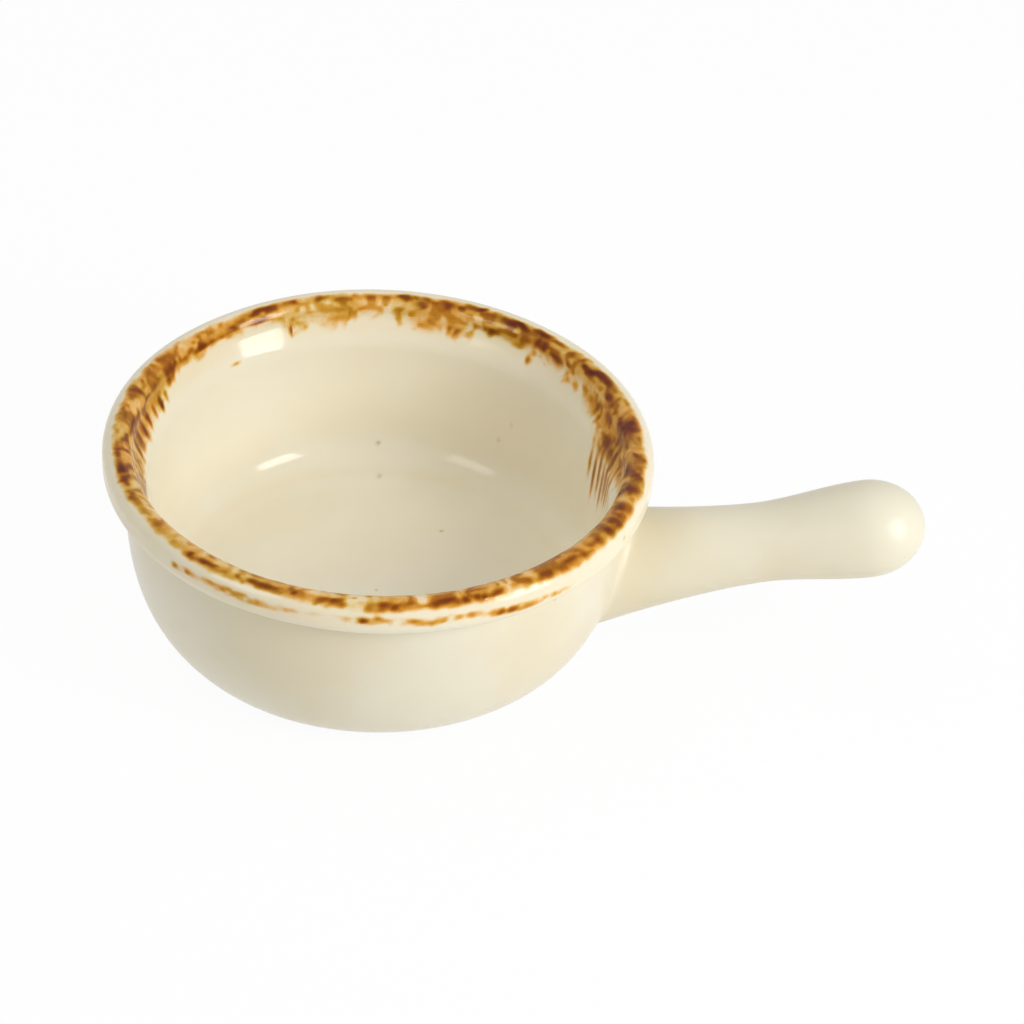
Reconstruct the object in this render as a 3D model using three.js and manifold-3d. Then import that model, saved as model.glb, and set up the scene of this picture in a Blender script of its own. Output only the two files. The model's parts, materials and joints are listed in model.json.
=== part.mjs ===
// A stick-handled soup bowl in glazed stoneware: a turned clay body, a clay handle stuck to its side with
// slip, and the glaze coats over both. Millimetres, +Z up, +X along the handle. The bowl stands on z = 0
// and the origin is under the middle of the whole length.
import * as THREE from "three";
import { mergeVertices } from "three/addons/utils/BufferGeometryUtils.js";
import Module from "manifold-3d";

// Bowl, finished sizes over the glaze
const rimRadius = 63.5;
const bowlHeight = 51;
const beadRadius = 3.65; // round bead that forms the lip
const lipBand = 2; // upright stretch between the bead's two round edges, outside only
const notchRadius = 1.2; // fillet between the bead and the wall under it
const lipOverhang = 5.3; // how far the bead stands out past the wall
const wallThickness = 5.2; // where the inside starts to open out to the bead
const flareDepth = 9; // height over which it opens out
const flareTopPull = 0.25; // how long the flare stays upright under the bead, as a share of its depth
const flareFootPull = 0.4; // how long it keeps to the wall's lean above its foot
const footRadius = 45;
const footHeight = 1; // upright edge of the foot, left bare
const footRingWidth = 5;
const footChamfer = 0.4;
const footRecess = 1.5; // hollow inside the foot ring
const floorThickness = 6;
const coveRadius = 11; // round corner between the floor and the inside of the wall
const wallDraft = 2; // how much the inside narrows from the flare down to the cove
const wallBulgeOut = 1.42; // curve powers of the outer wall: 2 is an ellipse, more is squarer
const wallBulgeUp = 2.95;

// Handle, finished sizes over the glaze, along its own axis from the wall radius
const handleTilt = THREE.MathUtils.degToRad(14.6);
const handleHeight = 21.4; // of the axis where it crosses the wall radius
const handleReach = 70.3;
const rootRadius = 12.55;
const rootTaper = 1.6; // power of the taper from root to waist
const waistRadius = 9.25;
const waistReach = 32;
const knobRadius = 11.25;
const knobReach = 57; // where the knob is widest

// Coats, joint and clearances
const glazeThickness = 0.5;
const slipThickness = 0.8;
const coatGap = 0.1; // glaze to clay
const seatGap = 0.3; // between pieces that are cut to each other's shape

// Facets round and along each turned form
const bowlSides = 40;
const wallSteps = 8;
const notchSteps = 2;
const beadUnderSteps = 3;
const beadQuarterSteps = 4;
const flareSteps = 5;
const coveSteps = 6;
const handleSides = 20;
const taperSteps = 6;
const swellSteps = 4;
const endSteps = 5;
const weldDistance = 1e-4;

const { cos, sin, tan, PI } = Math;
const { lerp, smoothstep } = THREE.MathUtils;

// Places that follow from the sizes
const clayInset = glazeThickness + coatGap;
const wallRadius = rimRadius - lipOverhang; // outside of the wall just below the notch
const mouthRadius = wallRadius - wallThickness;
const floorRadius = mouthRadius - wallDraft - coveRadius; // flat part of the inside floor
const floorHeight = footRecess + floorThickness;
const beadCentre = new THREE.Vector2(rimRadius - beadRadius, bowlHeight - beadRadius);
const underCentre = new THREE.Vector2(beadCentre.x, beadCentre.y - lipBand);
const notchAcross = beadRadius + notchRadius - lipOverhang;
const notchDrop = Math.sqrt((beadRadius + notchRadius) ** 2 - notchAcross ** 2);
const notchCentre = new THREE.Vector2(wallRadius + notchRadius, underCentre.y - notchDrop);
const notchAngle = Math.atan2(-notchDrop, notchAcross);
const knobLength = handleReach - knobReach;
const rootDepth = (wallRadius - footRadius) / cos(handleTilt) + rootRadius * tan(handleTilt);
const knobEndX = Math.hypot(knobLength * cos(handleTilt), knobRadius * sin(handleTilt));
const farX = wallRadius + knobReach * cos(handleTilt) + knobEndX;

const wasm = await Module();
wasm.setup();

/** A point of an outline: distance from the axis, then height along it. */
function at(radius, height) {
  return new THREE.Vector2(radius, height);
}

/** Points from a function of the share of the way along, both ends included. */
function along(steps, point) {
  return Array.from({ length: steps + 1 }, (_, i) => point(i / steps));
}

/** Points of a circle's arc. */
function arc(centre, radius, from, to, steps) {
  return along(steps, (share) => {
    const angle = lerp(from, to, share);
    return at(centre.x + radius * cos(angle), centre.y + radius * sin(angle));
  });
}

/** Points up a rounded wall that leaves its base level and ends upright. */
function bulge(base, top, powerOut, powerUp, steps) {
  return along(steps, (share) => {
    const angle = (share * PI) / 2;
    const out = sin(angle) ** (2 / powerOut);
    const up = 1 - Math.max(cos(angle), 0) ** (2 / powerUp);
    return at(lerp(base.x, top.x, out), lerp(base.y, top.y, up));
  });
}

/** An outline moved sideways: to the left of its direction, which is into the clay. */
function inset(outline, distance) {
  return outline.map((point, i) => {
    const before = outline[Math.max(i - 1, 0)];
    const after = outline[Math.min(i + 1, outline.length - 1)];
    const heading = after.clone().sub(before).normalize();
    return at(point.x - heading.y * distance, point.y + heading.x * distance);
  });
}

/** A geometry as a solid for cutting. */
function solid(geometry) {
  geometry.deleteAttribute("normal");
  geometry.deleteAttribute("uv");
  const welded = mergeVertices(geometry, weldDistance);
  const mesh = new wasm.Mesh({
    numProp: 3,
    vertProperties: welded.attributes.position.array,
    triVerts: new Uint32Array(welded.index.array),
  });
  return new wasm.Manifold(mesh);
}

/** The solid that an outline sweeps round the bowl's axis. */
function turned(outline) {
  return solid(new THREE.LatheGeometry(outline, bowlSides).rotateX(PI / 2));
}

/** The solid that an outline sweeps round the handle's axis. */
function turnedOnHandle(outline) {
  const blank = new THREE.LatheGeometry(outline, handleSides);
  blank.rotateZ(-PI / 2);
  blank.rotateY(-handleTilt);
  blank.translate(wallRadius, 0, handleHeight);
  return solid(blank);
}

// Outline of the finished bowl in three stretches: up the outside, over the bead, down the inside
const wallHead = at(wallRadius, notchCentre.y);
const outsideFace = [
  ...bulge(at(footRadius, footHeight), wallHead, wallBulgeOut, wallBulgeUp, wallSteps),
  ...arc(notchCentre, notchRadius, PI, PI + notchAngle, notchSteps).slice(1),
];
const beadInside = at(beadCentre.x - beadRadius, beadCentre.y);
const flareFoot = at(mouthRadius, beadCentre.y - flareDepth);
const coveCentre = at(floorRadius, floorHeight + coveRadius);
const coveToFlare = flareFoot.clone().sub(coveCentre);
const wallLean = Math.acos(coveRadius / coveToFlare.length()) - coveToFlare.angle(); // off upright
const footPull = flareFootPull * flareDepth;
const flare = new THREE.CubicBezierCurve(
  beadInside,
  at(beadInside.x, beadInside.y - flareTopPull * flareDepth),
  at(flareFoot.x + footPull * tan(wallLean), flareFoot.y + footPull),
  flareFoot,
);
const lipOutside = [
  ...arc(underCentre, beadRadius, notchAngle, 0, beadUnderSteps),
  ...arc(beadCentre, beadRadius, 0, PI / 2, beadQuarterSteps),
];
const rimFace = [
  ...lipOutside,
  ...arc(beadCentre, beadRadius, PI / 2, PI, beadQuarterSteps).slice(1),
  ...flare.getPoints(flareSteps).slice(1),
];
const insideFace = [
  flareFoot,
  ...arc(coveCentre, coveRadius, -wallLean, -PI / 2, coveSteps),
  at(0, floorHeight),
];
const finishedFace = [...outsideFace, ...rimFace.slice(1), ...insideFace.slice(1)];
const rimStart = outsideFace.length - 1;
const rimTop = rimStart + lipOutside.length - 1;
const rimEnd = rimStart + rimFace.length - 1;
const centre = finishedFace.length - 1;
const glazeBack = inset(finishedFace, glazeThickness);

/** Section of the glaze coat on one stretch of the finished outline, down its back and up its face. */
function coat(start, end) {
  return [...glazeBack.slice(start, end + 1).reverse(), ...finishedFace.slice(start, end + 1)];
}

/** The same section closed on itself, for a coat that doesn't reach the axis. */
function closedCoat(start, end) {
  return [...coat(start, end), glazeBack[end].clone()];
}

// Clay body inside the coats, with a bare foot ring round a hollow
const clayFace = inset(finishedFace, clayInset);
const ringOuter = clayFace[0].x - coatGap;
const ringInner = footRadius - footRingWidth;
const hollowHeight = footRecess + clayInset;
const bodyOutline = [
  at(0, hollowHeight),
  at(ringInner, hollowHeight),
  at(ringInner, footChamfer),
  at(ringInner + footChamfer, 0),
  at(ringOuter - footChamfer, 0),
  at(ringOuter, footChamfer),
  at(ringOuter, clayFace[0].y),
  ...clayFace.slice(1),
];
const baseCoatOutline = [
  at(0, footRecess),
  at(ringInner - coatGap, footRecess),
  at(ringInner - coatGap, footRecess + glazeThickness),
  at(0, footRecess + glazeThickness),
];

/** The bowl's outside as a full solid, grown from the finished face and carried down below the foot. */
function bowlBlank(growth) {
  const face = inset(finishedFace, -growth).slice(0, rimTop + 1);
  return turned([at(0, -rootRadius), at(face[0].x, -rootRadius), ...face, at(0, face[rimTop].y)]);
}

// Outline of the finished handle from its root to its tip: a taper, a swell and a round end
const taper = along(taperSteps, (share) => {
  const reach = lerp(-rootDepth, waistReach, share);
  const rise = (1 - reach / waistReach) ** rootTaper;
  return at(lerp(waistRadius, rootRadius, rise), reach);
});
const swell = along(swellSteps, (share) =>
  at(lerp(waistRadius, knobRadius, smoothstep(share, 0, 1)), lerp(waistReach, knobReach, share)),
);
const roundEnd = along(endSteps, (share) => {
  const angle = (share * PI) / 2;
  return at(knobRadius * cos(angle), knobReach + knobLength * sin(angle));
});
const handleFace = [...taper, ...swell.slice(1), ...roundEnd.slice(1)];

/** The handle's side inset by a distance, from the root's edge to the tip on the axis. */
function handleSide(distance) {
  return [...inset(handleFace, distance).slice(0, -1), at(0, handleReach - distance)];
}

/** The handle as a solid blank, inset by a distance from its finished face. */
function handleBlank(distance) {
  return turnedOnHandle([at(0, -rootDepth), ...handleSide(distance)]);
}

// The slip seats on the wall's clay and the handle's saddle end on the slip
const slipStart = seatGap - clayInset;
const slipEnd = slipStart + slipThickness;
const handleCore = handleBlank(clayInset);
const slipSaddle = handleCore.intersect(bowlBlank(slipEnd)).subtract(bowlBlank(slipStart));
const handleClay = handleCore.subtract(bowlBlank(slipEnd + seatGap));

// The handle's coat stops at the wall's coat, which is open where the slip passes through it
const handleShell = turnedOnHandle([...handleSide(glazeThickness).reverse(), ...handleSide(0)]);
const handleCoat = handleShell.subtract(bowlBlank(seatGap));
const outsideCoat = turned(closedCoat(0, rimStart)).subtract(handleBlank(clayInset - seatGap));

/** A finished piece with its own material. */
function piece(name, made, color, roughness) {
  const { vertProperties, triVerts } = made.getMesh();
  const geometry = new THREE.BufferGeometry();
  geometry.setAttribute("position", new THREE.BufferAttribute(vertProperties, 3));
  geometry.setIndex(new THREE.BufferAttribute(triVerts, 1));
  geometry.computeVertexNormals();
  const material = new THREE.MeshStandardMaterial({ color, roughness, metalness: 0 });
  const mesh = new THREE.Mesh(geometry, material);
  mesh.name = name;
  return mesh;
}

const bowl = new THREE.Group();
bowl.position.x = (rimRadius - farX) / 2;
bowl.add(
  piece("stoneware_body", turned(bodyOutline), 0xc9b79a, 0.7),
  piece("handle", handleClay, 0xc9b79a, 0.7),
  piece("luting_slip", slipSaddle, 0xbfa98a, 0.8),
  piece("inside_glaze", turned(coat(rimEnd, centre)), 0xe6dabb, 0.12),
  piece("outside_glaze", outsideCoat, 0xe6dfc9, 0.12),
  piece("handle_glaze", handleCoat, 0xe8e1cc, 0.12),
  piece("rim_glaze", turned(closedCoat(rimStart, rimEnd)), 0x9a5a22, 0.15),
  piece("base_glaze", turned(baseCoatOutline), 0xe2d9c0, 0.15),
);

const part = new THREE.Group();
part.add(bowl);

export default part;
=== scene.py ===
"""Dresses a stick-handled stoneware soup bowl: cream glaze, a mottled brown rim, bare fired clay under it.

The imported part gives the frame. Each glaze coat is a fine closed shell worked out with numpy over the same
outline as the part, so that the coats meet edge to edge, and the clay inside them keeps its place.
Lengths in the classes are millimetres on the bowl's own axis; meshes are put down in metres.
"""
import json
import logging
import math
from dataclasses import dataclass, field
from enum import Enum

import bpy
import numpy as np
from mathutils import Matrix, Vector

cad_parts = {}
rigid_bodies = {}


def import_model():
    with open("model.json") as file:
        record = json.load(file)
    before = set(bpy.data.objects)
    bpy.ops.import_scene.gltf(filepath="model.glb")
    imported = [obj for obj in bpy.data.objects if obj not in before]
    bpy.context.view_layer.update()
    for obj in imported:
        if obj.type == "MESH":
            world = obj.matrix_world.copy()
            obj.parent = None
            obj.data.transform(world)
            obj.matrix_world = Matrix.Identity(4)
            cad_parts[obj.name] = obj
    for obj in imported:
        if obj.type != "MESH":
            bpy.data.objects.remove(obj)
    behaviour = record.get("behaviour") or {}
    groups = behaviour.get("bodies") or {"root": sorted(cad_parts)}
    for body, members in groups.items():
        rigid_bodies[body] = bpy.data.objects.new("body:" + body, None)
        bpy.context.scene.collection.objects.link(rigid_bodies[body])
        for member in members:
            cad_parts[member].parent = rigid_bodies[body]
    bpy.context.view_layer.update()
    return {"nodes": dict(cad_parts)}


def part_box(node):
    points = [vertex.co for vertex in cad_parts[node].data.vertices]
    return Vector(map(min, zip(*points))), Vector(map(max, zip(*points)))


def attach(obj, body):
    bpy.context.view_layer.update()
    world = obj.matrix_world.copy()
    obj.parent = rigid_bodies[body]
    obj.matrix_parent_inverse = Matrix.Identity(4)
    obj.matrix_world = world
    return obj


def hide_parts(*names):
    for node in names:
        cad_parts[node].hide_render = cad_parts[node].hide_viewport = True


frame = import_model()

BODY = "root"
MM = 0.001
FULL_TURN = 2.0 * math.pi
TINY = 1e-12
NOISE_ROWS = 64
WHITE = (1.0, 1.0, 1.0)
log = logging.getLogger("bowl")

Array = np.ndarray
Colour = tuple[float, float, float]
Span = tuple[float, float]


class Node(Enum):
    """The part's nodes, which are also its material slots."""

    BODY = "stoneware_body"
    HANDLE = "handle"
    SLIP = "luting_slip"
    INSIDE = "inside_glaze"
    OUTSIDE = "outside_glaze"
    HANDLE_GLAZE = "handle_glaze"
    RIM = "rim_glaze"
    BASE = "base_glaze"


class Trace(Enum):
    """Point attributes that the glaze shells carry for their finish."""

    # This depth of brown also holds painted shade in the cove and a painted reflection of the rim on the
    # inner wall.
    BROWN = "brown_glaze"
    PLUM = "plum_tone"
    MATT = "matt_glaze"


# Shader building


class Wire:
    """A socket in a node tree, with Python operators that add Math nodes."""

    def __init__(self, sheet: "ShaderSheet", socket: bpy.types.NodeSocket) -> None:
        """Keeps the sheet that new nodes go on and the socket that this wire comes from."""
        self.sheet = sheet
        self.socket = socket

    def _math(self, operation: str, *values: "Wire | float") -> "Wire":
        """One Math node on these values."""
        inputs = dict(enumerate(values))
        return self.sheet.node("ShaderNodeMath", {"operation": operation}, inputs)["Value"]

    def __add__(self, other: "Wire | float") -> "Wire":
        """The sum."""
        return self._math("ADD", self, other)

    __radd__ = __add__

    def __sub__(self, other: "Wire | float") -> "Wire":
        """The difference."""
        return self._math("SUBTRACT", self, other)

    def __mul__(self, other: "Wire | float") -> "Wire":
        """The product."""
        return self._math("MULTIPLY", self, other)

    __rmul__ = __mul__

    def __lt__(self, other: "Wire | float") -> "Wire":
        """One where this wire is less, zero elsewhere."""
        return self._math("LESS_THAN", self, other)

    def either(self, other: "Wire") -> "Wire":
        """The larger of two values."""
        return self._math("MAXIMUM", self, other)

    def step(self, low: float, high: float, out_low: float = 0.0, out_high: float = 1.0) -> "Wire":
        """This value carried smoothly from one range to another, and held at its ends."""
        settings = {"interpolation_type": "SMOOTHSTEP"}
        inputs = {"Value": self, "From Min": low, "From Max": high, "To Min": out_low, "To Max": out_high}
        return self.sheet.node("ShaderNodeMapRange", settings, inputs)["Result"]


class ShaderSheet:
    """The node tree of one material or of the world."""

    # A Mix node's colour sockets go by number, because their names repeat.
    MIX_FACTOR, MIX_FIRST, MIX_SECOND, MIX_RESULT = 0, 6, 7, 2

    def __init__(self, owner: bpy.types.Material | bpy.types.World) -> None:
        """Clears the owner's tree to start from nothing."""
        owner.use_nodes = True
        self.tree = owner.node_tree
        self.tree.nodes.clear()

    def node(self, kind: str, settings: dict | None = None, inputs: dict | None = None) -> dict[str, Wire]:
        """Adds one node.

        Args:
            kind: The node's type name.
            settings: Values of the node's own properties; "stops" fills a colour ramp.
            inputs: Values or wires for its input sockets, by name or by number.

        Returns:
            The node's output sockets by name.
        """
        made = self.tree.nodes.new(kind)
        for name, value in (settings or {}).items():
            if name == "stops":
                self._fill_ramp(made.color_ramp, value)
            else:
                setattr(made, name, value)
        for name, value in (inputs or {}).items():
            if isinstance(value, Wire):
                self.tree.links.new(value.socket, made.inputs[name])
            else:
                made.inputs[name].default_value = value
        return {socket.name: Wire(self, socket) for socket in made.outputs}

    @staticmethod
    def _fill_ramp(ramp: bpy.types.ColorRamp, stops: tuple[tuple[float, Colour], ...]) -> None:
        """Puts the stops, from low to high, on a new ramp of two."""
        for place, _ in stops[1:-1]:
            ramp.elements.new(place)
        for element, (place, colour) in zip(ramp.elements, stops):
            element.position = place
            element.color = (*colour, 1.0)

    def noise(self, place: Wire, scale: float, detail: float = 2.0, roughness: float = 0.5) -> Wire:
        """Even noise from 0 to 1 on a place."""
        inputs = {"Vector": place, "Scale": scale, "Detail": detail, "Roughness": roughness}
        return self.node("ShaderNodeTexNoise", {}, inputs)["Fac"]

    def mix(self, factor: Wire, first: Wire | Colour, second: Wire | Colour, blend: str = "MIX") -> Wire:
        """One colour faded into another, or blended with it."""
        settings = {"data_type": "RGBA", "blend_type": blend}
        inputs = {self.MIX_FACTOR: factor, self.MIX_FIRST: _rgba(first), self.MIX_SECOND: _rgba(second)}
        made = self.node("ShaderNodeMix", settings, inputs)
        return Wire(self, made["Result"].socket.node.outputs[self.MIX_RESULT])

    def bump(self, height: Wire, strength: float, distance: float) -> Wire:
        """The normal of a surface raised by this height."""
        inputs = {"Strength": strength, "Distance": distance, "Height": height}
        return self.node("ShaderNodeBump", {}, inputs)["Normal"]

    def object_place(self) -> Wire:
        """The Object coordinates."""
        return self.node("ShaderNodeTexCoord")["Object"]

    def trace(self, name: Trace) -> Wire:
        """A point attribute of the mesh."""
        return self.node("ShaderNodeAttribute", {"attribute_name": name.value})["Fac"]

    def seen(self) -> Wire:
        """One for what is looked at, straight or by reflection or refraction; zero for rays of light."""
        rays = self.node("ShaderNodeLightPath")
        return rays["Is Camera Ray"].either(rays["Is Glossy Ray"]).either(rays["Is Transmission Ray"])

    def principled(self, inputs: dict) -> None:
        """Ends the tree in a Principled shader with these inputs."""
        self.output(self.node("ShaderNodeBsdfPrincipled", {}, inputs)["BSDF"])

    def output(self, shader: Wire, kind: str = "ShaderNodeOutputMaterial") -> None:
        """Ends the tree in this shader."""
        self.node(kind, {}, {"Surface": shader})


def _rgba(colour: Wire | Colour) -> Wire | tuple[float, ...]:
    """A colour as a socket takes it."""
    return colour if isinstance(colour, Wire) else (*colour, 1.0)


# Finishes


@dataclass(frozen=True)
class CreamGlaze:
    """Glossy cream glaze, warmer where thick, with a few iron specks; dull where the matt trace lies."""

    name: str
    cream: Colour = (0.80, 0.75, 0.595)
    warm: Colour = (0.77, 0.69, 0.50)
    speck: Colour = (0.30, 0.21, 0.10)
    cloud_scale: float = 28.0
    cloud_range: Span = (0.35, 0.68)
    speck_cell: float = 95.0
    speck_range: Span = (0.02, 0.075)
    speck_share: float = 0.16
    speck_least: float = 0.15
    speck_spread: float = 0.35
    roughness: float = 0.10
    matt_step: float = 0.6
    gloss: float = 0.30
    pebble_scale: float = 420.0
    pebble_depth: float = 0.00002
    pebble_strength: float = 0.35

    def colour(self, sheet: ShaderSheet) -> Wire:
        """The cream with its clouds and specks."""
        place = sheet.object_place()
        clouds = sheet.noise(place, self.cloud_scale, detail=3.0).step(*self.cloud_range)
        ground = sheet.mix(clouds, self.cream, self.warm)
        cells = sheet.node("ShaderNodeTexVoronoi", {}, {"Vector": place, "Scale": self.speck_cell})
        chosen = sheet.node("ShaderNodeSeparateColor", {}, {"Color": cells["Color"]})
        spot = cells["Distance"].step(*self.speck_range, 1.0, 0.0)
        strength = self.speck_least + self.speck_spread * chosen["Green"]
        specks = spot * (chosen["Red"] < self.speck_share) * strength
        return sheet.mix(specks, ground, self.speck)

    def relief(self, sheet: ShaderSheet) -> Wire:
        """The faint pebbling of a fired glaze, as a normal."""
        height = sheet.noise(sheet.object_place(), self.pebble_scale, detail=1.0)
        return sheet.bump(height, self.pebble_strength, self.pebble_depth)

    def make(self) -> bpy.types.Material:
        """The finished material."""
        material = bpy.data.materials.new(self.name)
        sheet = ShaderSheet(material)
        sheet.principled({
            "Base Color": self.colour(sheet),
            "Roughness": sheet.trace(Trace.MATT) * self.matt_step + self.roughness,
            "Specular IOR Level": self.gloss,
            "Normal": self.relief(sheet),
        })
        return material


@dataclass(frozen=True)
class BrownOverGlaze(CreamGlaze):
    """The cream glaze with brown glaze run into it: straw where it is thin, plum brown where it pools."""

    thin_to_thick: tuple[tuple[float, Colour], ...] = (
        (0.00, (0.85, 0.72, 0.46)),
        (0.10, (0.84, 0.61, 0.29)),
        (0.22, (0.81, 0.48, 0.15)),
        (0.34, (0.68, 0.32, 0.040)),
        (0.48, (0.43, 0.150, 0.004)),
        (0.66, (0.25, 0.058, 0.000)),
        (1.00, (0.13, 0.014, 0.000)),
    )
    plum: Colour = (0.21, 0.042, 0.018)
    olive_share: Colour = (0.91, 1.0, 0.85)
    olive_scale: float = 85.0
    olive_range: Span = (0.42, 0.62)
    grain_scale: float = 600.0
    grain_depth: float = 0.20
    grain_range: Span = (0.02, 0.25)
    cover_range: Span = (0.0, 0.30)

    def colour(self, sheet: ShaderSheet) -> Wire:
        """The cream under brown, by the brown's depth at each point."""
        cream = CreamGlaze.colour(self, sheet)
        # The brown depth also carries painted shade in the cove and a painted reflection of the rim,
        # coloured as brown.
        depth = sheet.trace(Trace.BROWN)
        place = sheet.object_place()
        grain = sheet.noise(place, self.grain_scale, detail=3.0, roughness=0.6) - 0.5
        mottled = depth + grain * self.grain_depth * depth.step(*self.grain_range)
        brown = sheet.node("ShaderNodeValToRGB", {"stops": self.thin_to_thick}, {"Fac": mottled})["Color"]
        olive = sheet.noise(place, self.olive_scale).step(*self.olive_range)
        toned = sheet.mix(olive, brown, self.olive_share, "MULTIPLY")
        stained = sheet.mix(sheet.trace(Trace.PLUM), toned, self.plum)
        return sheet.mix(mottled.step(*self.cover_range), cream, stained)


@dataclass(frozen=True)
class FiredClay:
    """Bare buff stoneware: dry, speckled and slightly gritty."""

    name: str
    buff: Colour = (0.58, 0.47, 0.33)
    toasted: Colour = (0.46, 0.34, 0.21)
    toast_scale: float = 60.0
    toast_range: Span = (0.35, 0.7)
    grit: Colour = (0.22, 0.15, 0.09)
    grit_scale: float = 1400.0
    grit_range: Span = (0.66, 0.74)
    grit_share: float = 0.6
    relief_scale: float = 900.0
    relief_depth: float = 0.0002
    relief_strength: float = 0.5
    roughness: float = 0.82

    def make(self) -> bpy.types.Material:
        """The finished material."""
        material = bpy.data.materials.new(self.name)
        sheet = ShaderSheet(material)
        place = sheet.object_place()
        toast = sheet.noise(place, self.toast_scale, detail=4.0).step(*self.toast_range)
        ground = sheet.mix(toast, self.buff, self.toasted)
        grains = sheet.noise(place, self.grit_scale, detail=1.0).step(*self.grit_range)
        height = sheet.noise(place, self.relief_scale, detail=4.0, roughness=0.7)
        sheet.principled({
            "Base Color": sheet.mix(grains * self.grit_share, ground, self.grit),
            "Roughness": self.roughness,
            "Normal": sheet.bump(height, self.relief_strength, self.relief_depth),
        })
        return material


# Meshes


def grid_faces(ids: Array, keep: Array | None = None) -> tuple[Array, Array]:
    """Faces of a grid of points that closes on itself along its columns.

    Each face joins a point, its neighbour in the next column and the two in the next row. A row that is one
    single point gives triangles.

    Args:
        ids: Point numbers, rows by columns.
        keep: Which faces to keep, rows less one by columns.

    Returns:
        The faces of four points and the faces of three.
    """
    beside = np.roll(ids, -1, axis=1)
    quads = np.stack([ids[:-1], beside[:-1], beside[1:], ids[1:]], axis=-1)
    quads = quads[keep] if keep is not None else quads.reshape(-1, 4)
    start_pole = quads[:, 0] == quads[:, 1]
    end_pole = quads[:, 2] == quads[:, 3]
    tris = np.concatenate([quads[start_pole][:, [0, 2, 3]], quads[end_pole][:, [0, 1, 2]]])
    return quads[~(start_pole | end_pole)], tris


def open_edges(faces: list[Array]) -> Array:
    """The directed edges that only one face has, as pairs of point numbers."""
    runs = [np.stack([part, np.roll(part, -1, axis=1)], axis=-1).reshape(-1, 2) for part in faces]
    edges = np.concatenate(runs)
    span = edges.max() + 1
    there = edges[:, 0] * span + edges[:, 1]
    back = edges[:, 1] * span + edges[:, 0]
    return edges[~np.isin(there, back)]


@dataclass
class Patch:
    """A surface sampled on a grid, rows by columns, closed along its columns, in millimetres."""

    points: Array
    normals: Array
    traces: dict[Trace, Array] = field(default_factory=dict)
    start_pole: bool = False
    end_pole: bool = False

    def ids(self) -> Array:
        """Point numbers, with one number for a row that is a pole."""
        rows, columns = self.points.shape[:2]
        numbers = np.arange(rows * columns).reshape(rows, columns)
        if self.start_pole:
            numbers[0] = numbers[0, 0]
        if self.end_pole:
            numbers[-1] = numbers[-1, 0]
        return numbers


def add_object(name: str, data: bpy.types.ID) -> bpy.types.Object:
    """A new object of this data, in the scene."""
    made = bpy.data.objects.new(name, data)
    bpy.context.scene.collection.objects.link(made)
    return made


def put_down(name: str, points: Array, normals: Array, faces: list[Array]) -> tuple[bpy.types.Object, Array]:
    """Makes a mesh object of the points that faces use.

    Args:
        name: The object's name.
        points: All points, in millimetres on the part's axes.
        normals: The shading normal at each point.
        faces: Arrays of faces, by point numbers.

    Returns:
        The object and the numbers of the points that it kept.
    """
    used = np.unique(np.concatenate([part.ravel() for part in faces]))
    place = np.zeros(len(points), dtype=np.int64)
    place[used] = np.arange(len(used))
    mesh = bpy.data.meshes.new(name)
    lists = [face for part in faces for face in place[part].tolist()]
    mesh.from_pydata((points[used] * MM).tolist(), [], lists)
    mesh.update()
    mesh.polygons.foreach_set("use_smooth", np.ones(len(mesh.polygons), dtype=bool))
    mesh.normals_split_custom_set_from_vertices(normals[used].tolist())
    return add_object(name, mesh), used


def shell(name: str, patch: Patch, thickness: float, keep: Array | None = None) -> bpy.types.Object:
    """A closed coat: the patch as its face, the same patch set back along its normals, and a wall between.

    Args:
        name: The object's name.
        patch: The outer face.
        thickness: How far back the second face lies, in millimetres.
        keep: Which of the grid's faces to keep.

    Returns:
        The coat as an object.
    """
    points = patch.points.reshape(-1, 3)
    normals = patch.normals.reshape(-1, 3)
    count = len(points)
    front = [part for part in grid_faces(patch.ids(), keep) if len(part)]
    first = points[front[0][0]]
    facing = np.cross(first[1] - first[0], first[2] - first[1]) @ normals[front[0][0][0]]
    if facing < 0:
        front = [part[:, ::-1] for part in front]
    rims = open_edges(front)
    walls = np.stack([rims[:, 1], rims[:, 0], rims[:, 0] + count, rims[:, 1] + count], axis=-1)
    back = [part[:, ::-1] + count for part in front]
    both = np.concatenate([points, points - normals * thickness])
    sides = np.concatenate([normals, -normals])
    made, used = put_down(name, both, sides, front + back + [walls])
    for trace, values in patch.traces.items():
        doubled = np.tile(values.ravel(), 2)[used].astype(np.float32)
        made.data.attributes.new(trace.value, "FLOAT", "POINT").data.foreach_set("value", doubled)
    return made


def finish_piece(made: bpy.types.Object, node: Node, material: bpy.types.Material) -> None:
    """Dresses a piece, hides the node that it stands in for, and has it ride on the bowl."""
    made.data.materials.append(material)
    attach(made, BODY)
    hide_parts(node.value)
    log.info("%s stands for %s: %d faces", made.name, node.value, len(made.data.polygons))


# Noise, easing and turning on whole arrays


def ease(values: Array, low: Array | float, high: Array | float) -> Array:
    """0 below low, 1 above high, and 3 t squared less 2 t cubed between them."""
    share = np.clip((values - low) / (high - low), 0.0, 1.0)
    return share * share * (3.0 - 2.0 * share)


def ridge(values: Array, middle: Array | float, width: float) -> Array:
    """1 at the middle: exp of less the squared distance from it in widths."""
    return np.exp(-(((values - middle) / width) ** 2))


def graded(noise: Array, least_and_spread: Span) -> Array:
    """Noise carried from 0 to 1 to a range given by its least value and its spread."""
    least, spread = least_and_spread
    return least + spread * noise


def blend(first: Array, second: Array, share: float) -> Array:
    """The first noise in its share and the second in what is left."""
    return share * first + (1.0 - share) * second


def full_turn(columns: int) -> Array:
    """Equal angles round the bowl or the handle, in radians."""
    return np.arange(columns) * (FULL_TURN / columns)


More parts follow.
